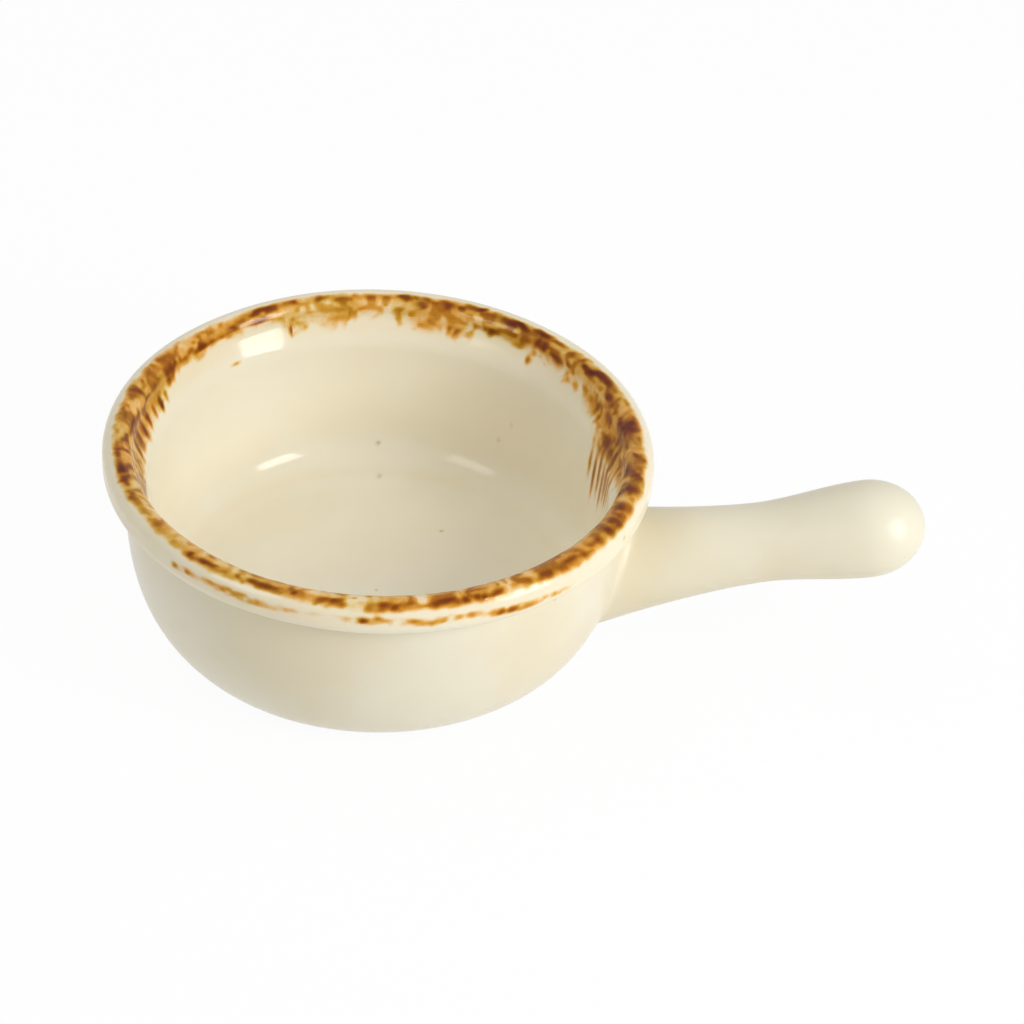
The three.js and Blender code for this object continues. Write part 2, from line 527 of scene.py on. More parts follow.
def turned(axis_x: float, radius: Array, turn: Array, height: Array) -> Array:
    """Points at a radius, an angle and a height about the bowl's axis."""
    spots = np.broadcast_arrays(axis_x + radius * np.cos(turn), radius * np.sin(turn), height)
    return np.stack(spots, axis=-1)


def unit(vectors: Array) -> Array:
    """The vectors at a length of 1."""
    return vectors / (np.linalg.norm(vectors, axis=-1, keepdims=True) + TINY)


def lattice_noise(turn: Array, along: Array, cells: int, pitch: float, seed: int) -> Array:
    """Smooth noise from 0 to 1 that closes round the bowl.

    Random values on a lattice of equal angles by equal lengths are blended with the easing curve, so each
    value reaches one cell each way.

    Args:
        turn: Angles round the bowl, in radians.
        along: Lengths along the section, in millimetres.
        cells: Lattice cells in a full turn.
        pitch: Length of a lattice cell along the section.
        seed: Seed of the random values.

    Returns:
        The noise at each point.
    """
    draws = np.random.default_rng(seed).random((NOISE_ROWS, cells))
    column = turn / FULL_TURN * cells
    row = along / pitch + NOISE_ROWS / 2
    left, low = np.floor(column).astype(int), np.floor(row).astype(int)
    across, up = ease(column - left, 0.0, 1.0), ease(row - low, 0.0, 1.0)
    right, high = (left + 1) % cells, (low + 1) % NOISE_ROWS
    left, low = left % cells, low % NOISE_ROWS
    bottom = draws[low, left] * (1.0 - across) + draws[low, right] * across
    top = draws[high, left] * (1.0 - across) + draws[high, right] * across
    return bottom * (1.0 - up) + top * up


# The brown rim


@dataclass(frozen=True)
class RimStation:
    """How the brown lies at one angle, in millimetres along the section and in depths from 0 to 1.

    The band has an outer and an inner edge, an even wash with mottles and cross bars in it, and a dark line
    along the rim at its own place and depth.
    """

    angle: float
    outer: float
    inner: float
    wash: float
    mottle: float
    bars: float
    line: float
    line_depth: float


@dataclass(frozen=True)
class LinePoint:
    """One point of the thin second line low on the lip's face: its angle, place and depth."""

    angle: float
    along: float
    depth: float


@dataclass(frozen=True)
class GlazeMarkOrPaintedReflection:
    """One pool, drip, blot or speck of brown, or painted reflection: its place, half sizes, depth and share
    of plum.
    """

    angle: float
    along: float
    half_angle: float
    half_length: float
    depth: float
    plum: float = 0.0


def rows_of(kind: type, *rows: tuple[float, ...]) -> tuple:
    """Rows of numbers, each in the order of the class's fields, as that class."""
    return tuple(kind(*row) for row in rows)


@dataclass(frozen=True)
class RimPattern:
    """The run of the brown glaze round the lip, by angle from the handle and length from the lip's crest.

    Pairs named for a noise hold its least value and its spread; other pairs are the ends of a fade. A single
    value named for a noise is its share of a blend.
    """

    stations: tuple[RimStation, ...] = rows_of(
        RimStation,
        (0, -1.4, 10, 0.24, 0.12, 0.08, 0.8, 0.05), (5, -1, 11, 0.2, 0.1, 0.06, 1.5, 0.02),
        (10, -0.8, 12.5, 0.24, 0.12, 0.08, 2, 0.15), (15, -0.6, 13.5, 0.25, 0.14, 0.08, 4, 0.22),
        (20, -0.6, 14, 0.25, 0.14, 0.08, 3.4, 0.22), (25, -0.6, 13, 0.25, 0.14, 0.06, 5, 0.2),
        (29, -0.4, 12, 0.24, 0.12, 0.06, 1.2, 0.4), (33, -0.2, 10.5, 0.2, 0.12, 0.04, 1.2, 0.46),
        (37, 0.2, 8.5, 0.22, 0.12, 0.03, 3, 0.3), (42, 0.5, 8, 0.24, 0.14, 0.03, 1.6, 0.14),
        (48, 0.6, 8, 0.24, 0.16, 0.03, 1.5, 0.24), (55, 0.7, 8.5, 0.25, 0.18, 0.03, 1.4, 0.3),
        (62, 0.8, 8, 0.25, 0.16, 0.03, 1.8, 0.4), (68, 0.9, 8, 0.22, 0.14, 0.03, 1.2, 0.22),
        (73, 0.8, 9, 0.22, 0.12, 0.03, 1.4, 0.4), (80, 0.8, 9.8, 0.22, 0.12, 0.03, 1.5, 0.44),
        (87, 0.8, 9.4, 0.22, 0.12, 0.03, 1.4, 0.4), (94, 0.8, 7.2, 0.22, 0.12, 0.03, 1.4, 0.32),
        (100, 0.8, 7.6, 0.22, 0.1, 0.03, 1.6, 0.28), (108, 0.8, 9, 0.22, 0.08, 0.03, 1.2, 0.22),
        (114, 0.7, 9.4, 0.22, 0.1, 0.03, 1.2, 0.2), (121, 0.7, 7, 0.22, 0.1, 0.03, 1.4, 0.24),
        (127, 0.6, 6.2, 0.22, 0.1, 0.03, 1.8, 0.3), (134, 0.5, 6.8, 0.22, 0.12, 0.04, 4.4, 0.24),
        (142, 0.4, 7, 0.22, 0.12, 0.04, 4.2, 0.22), (150, 0, 7.2, 0.24, 0.12, 0.05, 4.2, 0.26),
        (157, -0.2, 8.6, 0.26, 0.14, 0.12, 4.4, 0.24), (163, -0.6, 11, 0.28, 0.12, 0.18, 4.8, 0.22),
        (170, -0.8, 11.5, 0.29, 0.12, 0.18, 5.6, 0.28), (177, -0.8, 11.5, 0.27, 0.12, 0.16, 5, 0.32),
        (184, -0.8, 14, 0.26, 0.12, 0.14, 3.6, 0.28), (190, -0.9, 15, 0.26, 0.12, 0.14, -0.1, 0.26),
        (196, -1.2, 15, 0.27, 0.12, 0.12, 0, 0.28), (203, -1.6, 14, 0.26, 0.12, 0.1, -0.3, 0.22),
        (209, -1.8, 12, 0.25, 0.12, 0.04, -0.6, 0.26), (213, -1.6, 10, 0.19, 0.1, 0.04, -0.6, 0.05),
        (220, -1.8, 8, 0.19, 0.1, 0.04, -1, 0.12), (228, -2.4, 6.4, 0.21, 0.1, 0.05, -1.4, 0.18),
        (236, -2.8, 6, 0.21, 0.12, 0.06, -1.7, 0.24), (244, -2.8, 6, 0.2, 0.12, 0.06, -1.5, 0.2),
        (252, -2.8, 6, 0.18, 0.12, 0.06, -1.4, 0.16), (262, -3.4, 6, 0.19, 0.12, 0.06, -1, 0.2),
        (268, -3.6, 6, 0.17, 0.12, 0.06, -1.6, 0.12), (276, -3.7, 6, 0.17, 0.12, 0.08, -2.2, 0.22),
        (284, -3.7, 6, 0.16, 0.12, 0.08, -2.3, 0.16), (289, -3.7, 6, 0.17, 0.12, 0.08, -2.2, 0.24),
        (295, -3.7, 6, 0.16, 0.12, 0.1, -2.1, 0.16), (301, -3.6, 6, 0.17, 0.12, 0.1, -2, 0.18),
        (306, -3.4, 6, 0.17, 0.1, 0.08, -1.9, 0.08), (312, -3.4, 4.2, 0.18, 0.1, 0.08, -2, 0.16),
        (320, -3.8, 4.6, 0.22, 0.1, 0.08, -1.8, 0.14), (327, -3.6, 5.4, 0.22, 0.1, 0.08, -1.2, 0.08),
        (335, -3.4, 6.4, 0.23, 0.1, 0.08, -0.5, 0.06), (343, -3, 7.4, 0.23, 0.1, 0.08, 0, 0.06),
        (350, -2.4, 8, 0.24, 0.1, 0.08, 0.4, 0.08), (356, -1.8, 8.6, 0.24, 0.1, 0.08, 0.6, 0.05),
    )
    low_line: tuple[LinePoint, ...] = rows_of(
        LinePoint,
        (226, -6, 0), (230, -6, 0.36), (233, -6.1, 0.32), (236, -6.1, 0.4), (242.5, -5.9, 0.44),
        (248, -6.1, 0.36), (253, -6, 0.28), (258, -5.7, 0.16), (265, -5.6, 0.12), (270, -5.8, 0.2),
        (272, -6, 0.5), (276, -5.9, 0.46), (279, -6.2, 0.18), (283, -6.6, 0.34), (286, -6.7, 0.48),
        (289, -6.1, 0.3), (293, -6.3, 0.26), (297, -6.7, 0.42), (303, -7.5, 0.52), (308, -7.8, 0.4),
        (314, -7.6, 0.24), (320, -7.4, 0.08),
    )
    marks: tuple[GlazeMarkOrPaintedReflection, ...] = rows_of(
        GlazeMarkOrPaintedReflection,
        (3.6, 0.5, 0.8, 2, 0.12), (8, 4, 2.2, 1.5, 0.26), (12.5, 1.6, 2, 1.8, 0.44, 0.35),
        # Painted reflection: the rows from 4 to 24 degrees that lie 12 to 23 mm down the inside draw the
        # brown rim as the glossy inner wall mirrors it.
        (15.5, 4.5, 1.8, 1.4, 0.38, 0.5), (17.3, 10.8, 1.4, 1.2, 0.42, 0.3), (24, 21, 0.9, 4.5, 0.32, 0.2),
        (20.5, 23, 0.9, 6, 0.4, 0.3), (19, 12.5, 0.8, 3, 0.3), (17, 18, 0.9, 6.5, 0.42, 0.4),
        (13.6, 21, 0.9, 6, 0.42, 0.4), (10.4, 17, 0.9, 6, 0.4, 0.4), (7.4, 18.5, 0.9, 5.5, 0.4, 0.3),
        (4.4, 15.5, 0.9, 5, 0.36, 0.3), (13.5, 16, 9, 8, 0.19, 0.1), (22.5, 7, 2, 1.4, 0.36, 0.3),
        (25.5, 3.2, 2.2, 1, 0.4, 0.3), (28.3, 7.6, 0.9, 1.2, 0.36, 0.3), (32, 1.2, 3.2, 0.9, 0.36, 0.4),
        (32, 7.8, 1.6, 0.9, 0.14), (47, 5.4, 1.8, 1, 0.22, 0.7), (53, 4.2, 2.4, 1.4, 0.32, 0.4),
        (55.6, 9.2, 0.7, 1.2, 0.34), (63.5, 2.2, 2.2, 1, 0.3, 0.3), (68, 6, 3.2, 0.8, 0.24, 0.3),
        (79, 2.4, 1.6, 0.9, 0.28, 0.3), (85, 3, 1.6, 1, 0.24, 0.5), (77, 7.6, 3.2, 0.8, 0.1),
        (114, 8.6, 0.9, 0.8, 0.16), (117.4, 8.6, 0.6, 1.6, 0.34), (125.7, 4.2, 2.6, 0.6, 0.36, 0.9),
        (134.2, 12.4, 1.6, 0.5, 0.4), (156.6, 6.6, 0.9, 1.5, 0.26), (162.8, 4, 1.6, 1.6, 0.22),
        (159.4, 9.4, 0.7, 1.6, 0.36), (162.4, 9.8, 0.7, 1.9, 0.44), (166.2, 9.6, 0.7, 1.9, 0.44),
        (170.2, 9.4, 0.7, 1.9, 0.42), (174.2, 9.4, 0.8, 1.9, 0.44), (178.2, 9, 0.8, 1.9, 0.38),
        (182.4, 9.2, 0.8, 1.9, 0.28), (188, 2.6, 1.8, 0.8, 0.28), (190, -0.1, 2.2, 0.5, 0.16),
        (199, 0.2, 2.2, 0.8, 0.2), (209.3, -0.7, 0.8, 1.2, 0.26), (237, -1.7, 2.2, 0.5, 0.14),
        (262.3, -3, 0.5, 0.5, 0.15), (276.6, -2, 1.2, 0.6, 0.14), (289, -1.9, 2, 0.6, 0.16),
        (293.2, -2, 0.6, 0.8, 0.2), (295.8, -1.9, 0.7, 0.8, 0.22), (300.6, -2, 1.2, 0.8, 0.18),
        (317, -2, 0.8, 1.6, 0.14), (320.8, -5.8, 0.35, 0.3, 0.15), (322.8, -1.4, 0.9, 1.8, 0.22),
        (328.6, -1.2, 1, 2, 0.3), (332.4, -0.9, 0.9, 2, 0.25), (335.8, -5.8, 0.6, 0.6, 0.18),
        (336.2, -0.6, 1.1, 2.2, 0.32), (341.5, -0.3, 1.3, 2.4, 0.34), (346.5, 3.6, 2, 1.3, 0.24),
        (348.2, 0.2, 1.2, 2.4, 0.32), (352, -0.4, 1.4, 1.4, 0.3), (356.5, 3.6, 2.2, 1.4, 0.26),
        (359.5, -0.3, 1.5, 1.4, 0.2), (94.5, 40.8, 1, 0.8, 0.14, 0.7), (93.8, 49.2, 1.2, 0.9, 0.13, 0.7),
        (57, 28, 0.8, 0.9, 0.11, 0.7), (60.3, 33.2, 0.9, 0.9, 0.12, 0.7), (60, 64.8, 1.8, 0.7, 0.12, 0.7),
        (130.3, 52, 1.2, 0.6, 0.1, 0.7),
    )
    broad_cells: int = 96
    fine_cells: int = 216
    cloud_cells: int = 60
    blot_cells: int = 240
    sway_cells: int = 72
    sway: float = 0.05
    streak_length: float = 9.0
    cloud_length: float = 3.0
    blot_length: float = 1.2
    outer_sway: float = 0.8
    outer_fade: Span = (-1.4, 1.2)
    comb: float = 3.0
    comb_broad: float = 0.4
    inner_sway: float = 2.0
    inner_fade: Span = (-3.5, 2.4)
    wash_cloud: Span = (0.82, 0.5)
    gain: float = 1.6
    mottle_blots: float = 0.7
    mottle_fade: Span = (0.40, 0.76)
    bar_broad: float = 0.6
    bar_fade: Span = (0.40, 0.66)
    line_width: float = 1.0
    line_fade: Span = (0.25, 0.75)
    line_broad: Span = (0.4, 0.6)
    line_blots: Span = (0.5, 1.5)
    low_line_width: float = 1.1
    low_line_sway: float = 0.8
    low_line_blots: Span = (0.4, 1.2)
    mark_fine: Span = (0.7, 0.9)
    tint: float = 0.09
    tint_start: Span = (-11.0, -8.0)
    tint_end: Span = (9.0, 14.0)
    deepest: float = 1.1
    most_plum: float = 0.85
    seed: int = 7

    @staticmethod
    def _run(degrees: Array, points: tuple, name: str) -> Array:
        """A value at each angle, straight between the points that hold it and closed round the bowl."""
        angles = [point.angle for point in points]
        return np.interp(degrees, angles, [getattr(point, name) for point in points], period=360.0)

    def depth(self, turn: Array, along: Array) -> Array:
        """Depth of brown from 0 to about 1.

        Between its edges the band is a clouded wash with mottles, which are small round noise, and bars,
        which are noise drawn out along the section and swayed sideways. Drawn-out noise also pushes the
        inner edge in and out, which combs it. Each line is exp(-distance squared) and broken by noise, as
        are the marks; a few marks are painted reflection of the rim in the inner wall. A faint tint lies
        under all.

        Args:
            turn: Angles from the handle, in radians.
            along: Lengths from the lip's crest, inwards positive, in millimetres.

        Returns:
            The depth at each point.
        """
        degrees = np.degrees(turn) % 360.0
        outer, inner, wash, mottle, bars, line, line_depth = (
            self._run(degrees, self.stations, name)
            for name in ("outer", "inner", "wash", "mottle", "bars", "line", "line_depth")
        )
        low, low_depth = (self._run(degrees, self.low_line, name) for name in ("along", "depth"))
        cloud = lattice_noise(turn, along, self.cloud_cells, self.cloud_length, self.seed)
        sway = lattice_noise(turn, along, self.sway_cells, self.cloud_length, self.seed + 1)
        swayed = turn + self.sway * (sway - 0.5)
        broad = lattice_noise(swayed, along, self.broad_cells, self.streak_length, self.seed + 2)
        fine = lattice_noise(swayed, along, self.fine_cells, self.streak_length, self.seed + 3)
        blots = lattice_noise(swayed, along, self.blot_cells, self.blot_length, self.seed + 4)
        edge = outer + self.outer_sway * (fine - 0.5) + (cloud - 0.5)
        combed = self.comb * (blend(broad, fine, self.comb_broad) - 0.5)
        reach = inner + combed + self.inner_sway * (cloud - 0.5)
        band = self._across(along, edge, self.outer_fade)
        band = band * (1.0 - self._across(along, reach, self.inner_fade))
        body = wash * graded(cloud, self.wash_cloud)
        body = body + self.gain * mottle * ease(blend(blots, fine, self.mottle_blots), *self.mottle_fade)
        body = body + self.gain * bars * ease(blend(broad, fine, self.bar_broad), *self.bar_fade)
        broken = graded(ease(broad, *self.line_fade), self.line_broad) * graded(blots, self.line_blots)
        total = band * body + line_depth * broken * ridge(along, line, self.line_width)
        low = low + self.low_line_sway * (cloud - 0.5)
        low_ridge = ridge(along, low, self.low_line_width)
        total = total + low_depth * graded(blots, self.low_line_blots) * low_ridge
        grain = graded(fine, self.mark_fine)
        for mark in self.marks:
            total = total + mark.depth * self._bump(degrees, along, mark) * grain
        under = self.tint * ease(along, *self.tint_start) * (1.0 - ease(along, *self.tint_end))
        return np.clip(np.maximum(total, under), 0.0, self.deepest)

    def plum(self, turn: Array, along: Array) -> Array:
        """Share of plum tone, from the marks alone."""
        degrees = np.degrees(turn) % 360.0
        total = np.zeros_like(degrees)
        for mark in self.marks:
            total = total + mark.plum * self._bump(degrees, along, mark)
        return np.clip(total, 0.0, self.most_plum)

    @staticmethod
    def _across(along: Array, edge: Array, fade: Span) -> Array:
        """0 before a wandering edge and 1 past it, eased over the fade."""
        return ease(along, edge + fade[0], edge + fade[1])

    @staticmethod
    def _bump(degrees: Array, along: Array, mark: GlazeMarkOrPaintedReflection) -> Array:
        """A round bump: exp of less the squared distance in half sizes."""
        turned_by = (degrees - mark.angle + 180.0) % 360.0 - 180.0
        return np.exp(-((turned_by / mark.half_angle) ** 2) - ((along - mark.along) / mark.half_length) ** 2)


# The bowl


@dataclass
class BowlOutline:
    """The finished section from the foot's edge up the wall, over the lip and down to the floor's centre."""

    rim_radius: float
    height: float
    bead_radius: float = 3.65
    notch_radius: float = 1.2
    lip_overhang: float = 5.3
    lip_band: float = 2.0
    wall_thickness: float = 5.2
    flare_depth: float = 9.0
    flare_top_pull: float = 0.25
    flare_foot_pull: float = 0.4
    foot_radius: float = 45.0
    foot_height: float = 1.0
    foot_recess: float = 1.5
    floor_thickness: float = 6.0
    cove_radius: float = 11.0
    wall_draft: float = 2.0
    wall_bulge_out: float = 1.42
    wall_bulge_up: float = 2.95
    samples: int = 400

    def __post_init__(self) -> None:
        """Samples each stretch and measures lengths from the lip's crest."""
        wall_radius = self.rim_radius - self.lip_overhang
        bead_x, bead_z = self.rim_radius - self.bead_radius, self.height - self.bead_radius
        across = self.bead_radius + self.notch_radius - self.lip_overhang
        drop = math.sqrt((self.bead_radius + self.notch_radius) ** 2 - across**2)
        under_z = bead_z - self.lip_band
        notch_x, notch_z = wall_radius + self.notch_radius, under_z - drop
        notch_angle = math.atan2(-drop, across)
        foot_x, foot_z = wall_radius - self.wall_thickness, bead_z - self.flare_depth
        floor = self.foot_recess + self.floor_thickness
        cove_x, cove_z = foot_x - self.wall_draft - self.cove_radius, floor + self.cove_radius
        beside, above = foot_x - cove_x, foot_z - cove_z
        lean = math.acos(self.cove_radius / math.hypot(beside, above)) - math.atan2(above, beside)
        share = np.linspace(0.0, 1.0, self.samples)
        wall = self._bulge((self.foot_radius, self.foot_height), (wall_radius, notch_z))
        notch = self._arc(notch_x, notch_z, self.notch_radius, math.pi, math.pi + notch_angle)
        under = self._arc(bead_x, under_z, self.bead_radius, notch_angle, 0.0)
        upright = np.stack([np.full_like(share, self.rim_radius), under_z + self.lip_band * share], axis=1)
        bead_out = self._arc(bead_x, bead_z, self.bead_radius, 0.0, math.pi / 2)
        bead_in = self._arc(bead_x, bead_z, self.bead_radius, math.pi / 2, math.pi)
        flare = self._flare((bead_x - self.bead_radius, bead_z), (foot_x, foot_z), lean)
        cove = self._arc(cove_x, cove_z, self.cove_radius, -lean, -math.pi / 2)
        slope = flare[-1] + share[:, None] * (cove[0] - flare[-1])
        level = np.stack([cove_x * (1.0 - share), np.full_like(share, floor)], axis=1)
        runs = [wall, notch, under, upright, bead_out, bead_in, flare, slope, cove, level]
        joined = np.concatenate([runs[0]] + [run[1:] for run in runs[1:]])
        lengths = np.concatenate([[0.0], np.cumsum(np.linalg.norm(np.diff(joined, axis=0), axis=1))])
        ends = lengths[np.cumsum([len(run) - 1 for run in runs])]
        _, notch_end, _, _, crest, _, flare_end, _, cove_end, level_end = ends
        self.section = joined
        self.lengths = lengths - crest
        self.foot, self.notch, self.mouth, self.floor_edge, self.centre = (
            value - crest for value in (0.0, notch_end, flare_end, cove_end, level_end)
        )
        self.wall_radius = wall_radius

    def _bulge(self, base: Span, top: Span) -> Array:
        """A quarter superellipse: sin to the power 2/out across, 1 less cos to the power 2/up upwards."""
        angle = np.linspace(0.0, math.pi / 2, self.samples)
        across = np.sin(angle) ** (2.0 / self.wall_bulge_out)
        upwards = 1.0 - np.clip(np.cos(angle), 0.0, 1.0) ** (2.0 / self.wall_bulge_up)
        radius = base[0] + (top[0] - base[0]) * across
        return np.stack([radius, base[1] + (top[1] - base[1]) * upwards], axis=1)

    def _arc(self, x: float, z: float, radius: float, start: float, end: float) -> Array:
        """Points of a circle's arc."""
        angle = np.linspace(start, end, self.samples)
        return np.stack([x + radius * np.cos(angle), z + radius * np.sin(angle)], axis=1)

    def _flare(self, top: Span, foot: Span, lean: float) -> Array:
        """A cubic Bezier curve that leaves its top upright and ends at the wall's lean."""
        share = np.linspace(0.0, 1.0, self.samples)[:, None]
        foot_pull = self.flare_foot_pull * self.flare_depth
        under_top = np.array([top[0], top[1] - self.flare_top_pull * self.flare_depth])
        over_foot = np.array([foot[0] + foot_pull * math.tan(lean), foot[1] + foot_pull])
        early, late = 3.0 * (1.0 - share) ** 2 * share, 3.0 * (1.0 - share) * share**2
        ends = (1.0 - share) ** 3 * np.array(top) + share**3 * np.array(foot)
        return ends + early * under_top + late * over_foot

    def place(self, along: Array) -> tuple[Array, Array]:
        """Radius and height at lengths along the section."""
        radius = np.interp(along, self.lengths, self.section[:, 0])
        return radius, np.interp(along, self.lengths, self.section[:, 1])

    def normal(self, along: Array, step: float = 0.05) -> tuple[Array, Array]:
        """Outward normal at lengths along the section: its direction turned a quarter to the right."""
        radius_a, height_a = self.place(along - step)
        radius_b, height_b = self.place(along + step)
        out, up = height_b - height_a, radius_a - radius_b
        size = np.hypot(out, up) + TINY
        return out / size, up / size


@dataclass
class GlazedBowl:
    """The bowl: its clay body and the coats on the inside, the rim, the outside and the base.

    A wobble is a slow wave of the face: its waves in a turn, its size, its phase and its length along the
    section. The fades say where the waves and the brown's relief die out.
    """

    outline: BowlOutline
    axis_x: float
    pattern: RimPattern = field(default_factory=RimPattern)
    glaze_thickness: float = 0.5
    coat_gap: float = 0.1
    brown_relief: float = 0.14
    # Painted shade: a faint brown ring above the floor's edge, partly glaze pooling in the cove and partly
    # painted shade of the cove.
    cove_shade_and_pooling_depth: float = 0.075
    cove_shade_and_pooling_width: float = 2.4
    cove_shade_and_pooling_rise: float = 5.0
    matt_middle: float = -10.8
    matt_width: float = 2.6
    lap: float = 0.4
    lap_sink: float = 0.06
    foot_ring_width: float = 5.0
    foot_chamfer: float = 0.4
    wobbles: tuple[tuple[int, float, float, float], ...] = (
        (2, 0.060, 0.7, 60.0),
        (3, 0.045, 2.1, 45.0),
        (5, 0.030, 4.4, 31.0),
        (9, 0.014, 1.2, 23.0),
    )
    centre_fade: Span = (2.0, 25.0)
    lip_fade: float = 6.0
    foot_fade: float = 3.0
    notch_fade: float = 4.0
    handle_fade: Span = (0.36, 0.70)
    spin_step: float = 0.002
    section_step: float = 0.12
    columns: int = 720
    rim_rows: int = 64
    outside_rows: int = 56
    inside_rows: int = 64
    base_rows: int = 30
    base_columns: int = 180
    body_stations: int = 220
    body_columns: int = 240
    sharp_from: float = math.radians(30.0)

    def surface(self, turn: Array, along: Array) -> Array:
        """Points of the finished face.

        The section at each length is turned round the axis, and moved along its normal by slow waves,
        each a cosine of the angle and the length, and by the depth of the brown. The sum never stands out
        past the plain section.

        Args:
            turn: Angles from the handle, in radians.
            along: Lengths along the section, in millimetres.

        Returns:
            Points, with one more axis than the angles.
        """
        radius, height = self.outline.place(along)
        out, up = self.outline.normal(along)
        notch, foot = self.outline.notch, self.outline.foot
        lift = np.zeros_like(radius * turn)
        for order, size, phase, length in self.wobbles:
            lift = lift + size * (np.cos(order * turn + phase + along / length) - 1.0)
        relief = self.brown_relief * (np.minimum(self.pattern.depth(turn, along), 1.0) - 1.0)
        lift = lift + relief * ease(along, notch, notch + self.lip_fade)
        calm = ease(radius, *self.centre_fade) * self.away_from_handle(turn, along)
        lift = lift * calm * ease(along, foot, foot + self.foot_fade)
        return turned(self.axis_x, radius + out * lift, turn, height + up * lift)

    def away_from_handle(self, turn: Array, along: Array) -> Array:
        """0 on the outer wall at the handle and 1 elsewhere, so that the two meet on the plain section."""
        aside = np.abs((turn + math.pi) % FULL_TURN - math.pi)
        outer = 1.0 - ease(along, self.outline.notch, self.outline.notch + self.notch_fade)
        return 1.0 - outer * (1.0 - ease(aside, *self.handle_fade))

    def patch(self, start: float, end: float, rows: int, lap: float = 0.0) -> Patch:
        """The finished face between two lengths along the section.

        Normals are the cross product of the differences along both parameters. A lap is one more row past
        the start or, if it is negative, past the end, sunk a little so that it hides under the next coat.
        The brown is the rim's pattern and a faint ring above the floor's edge, partly glaze pooling in the
        cove and partly painted shade of the cove; the matt trace is a ring on the lower lip. Both rings are
        exp(-distance squared).

        Args:
            start: Where the patch starts along the section, in millimetres.
            end: Where it ends.
            rows: Steps along the section.
            lap: How far the patch runs on.

        Returns:
            The patch, with the brown's depth, its plum tone and the matt trace on it.
        """
        steps = np.linspace(start, end, rows + 1)
        if lap > 0.0:
            steps = np.concatenate([[start - lap], steps])
        elif lap < 0.0:
            steps = np.concatenate([steps, [end - lap]])
        along, turn = np.meshgrid(steps, full_turn(self.columns), indexing="ij")
        points = self.surface(turn, along)
        spin, step = self.spin_step, self.section_step
        round_bowl = self.surface(turn + spin, along) - self.surface(turn - spin, along)
        in_section = self.surface(turn, along + step) - self.surface(turn, along - step)
        normals = unit(np.cross(round_bowl, in_section))
        ends_at_axis = math.isclose(end, self.outline.centre)
        if ends_at_axis:
            normals[-1] = (0.0, 0.0, 1.0)
        if lap:
            lapped = 0 if lap > 0.0 else -1
            points[lapped] -= self.lap_sink * normals[lapped]
        # Painted shade: this ring darkens the cove above the floor's edge; it is partly glaze pooling and
        # partly painted shade.
        cove_shade_and_pooling = self.cove_shade_and_pooling_depth * ridge(along, self.outline.floor_edge - self.cove_shade_and_pooling_rise, self.cove_shade_and_pooling_width)
        traces = {
            Trace.BROWN: np.maximum(self.pattern.depth(turn, along), cove_shade_and_pooling),
            Trace.PLUM: self.pattern.plum(turn, along),
            Trace.MATT: ridge(along, self.matt_middle, self.matt_width),
        }
        return Patch(points, normals, traces, end_pole=ends_at_axis)

    def build_coats(self, handle: "GlazedHandle") -> dict[Node, bpy.types.Object]:
        """The coats as shells; the outside one is open where the handle is stuck on."""
        outline = self.outline
        outside = self.patch(outline.foot, outline.notch, self.outside_rows, -self.lap)
        clear = ~handle.covers(outside.points[:-1])
        rim = self.patch(outline.notch, outline.mouth, self.rim_rows)
        inside = self.patch(outline.mouth, outline.centre, self.inside_rows, self.lap)
        return {
            Node.OUTSIDE: shell("glazed_outside", outside, self.glaze_thickness, clear),
            Node.RIM: shell("glazed_rim", rim, self.glaze_thickness),
            Node.INSIDE: shell("glazed_inside", inside, self.glaze_thickness),
            Node.BASE: shell("glazed_base", self.base_patch(), self.glaze_thickness),
        }

    def base_patch(self) -> Patch:
        """The face of the base coat: a level disc that looks down into the hollow of the foot."""
        edge = self.outline.foot_radius - self.foot_ring_width - self.coat_gap
        reaches = np.linspace(0.0, edge, self.base_rows + 1)
        reach, turn = np.meshgrid(reaches, full_turn(self.base_columns), indexing="ij")
        points = turned(self.axis_x, reach, turn, np.full_like(reach, self.outline.foot_recess))
        normals = np.zeros_like(points)
        normals[..., 2] = -1.0
        return Patch(points, normals, start_pole=True)

    def build_body(self) -> bpy.types.Object:
        """The clay body: the section set in under the coats, closed by the foot ring and its hollow."""
        outline = self.outline
        inset = self.glaze_thickness + self.coat_gap
        along = np.linspace(outline.foot, outline.centre, self.body_stations)
        radius, height = outline.place(along)
        out, up = outline.normal(along)
        reach = self.brown_relief + 2.0 * sum(size for _, size, _, _ in self.wobbles)
        face = np.stack([radius - out * (inset + reach), height - up * (inset + reach)], axis=1)
        face[-1, 0] = 0.0
        ring_out = outline.foot_radius - inset - self.coat_gap
        ring_in = outline.foot_radius - self.foot_ring_width
        hollow = outline.foot_recess + inset
        foot = [
            (0.0, hollow),
            (ring_in, hollow),
            (ring_in, self.foot_chamfer),
            (ring_in + self.foot_chamfer, 0.0),
            (ring_out - self.foot_chamfer, 0.0),
            (ring_out, self.foot_chamfer),
            (ring_out, outline.foot_height),
        ]
        section = np.concatenate([foot, face[face[:, 1] > outline.foot_height]])
        points = turned(self.axis_x, section[:, :1], full_turn(self.body_columns), section[:, 1:])
        patch = Patch(points, np.zeros_like(points), start_pole=True, end_pole=True)
        flat = points.reshape(-1, 3)
        made, _ = put_down("fired_body", flat, np.zeros_like(flat), list(grid_faces(patch.ids())))
        made.data.set_sharp_from_angle(angle=self.sharp_from)
        return made


# The handle


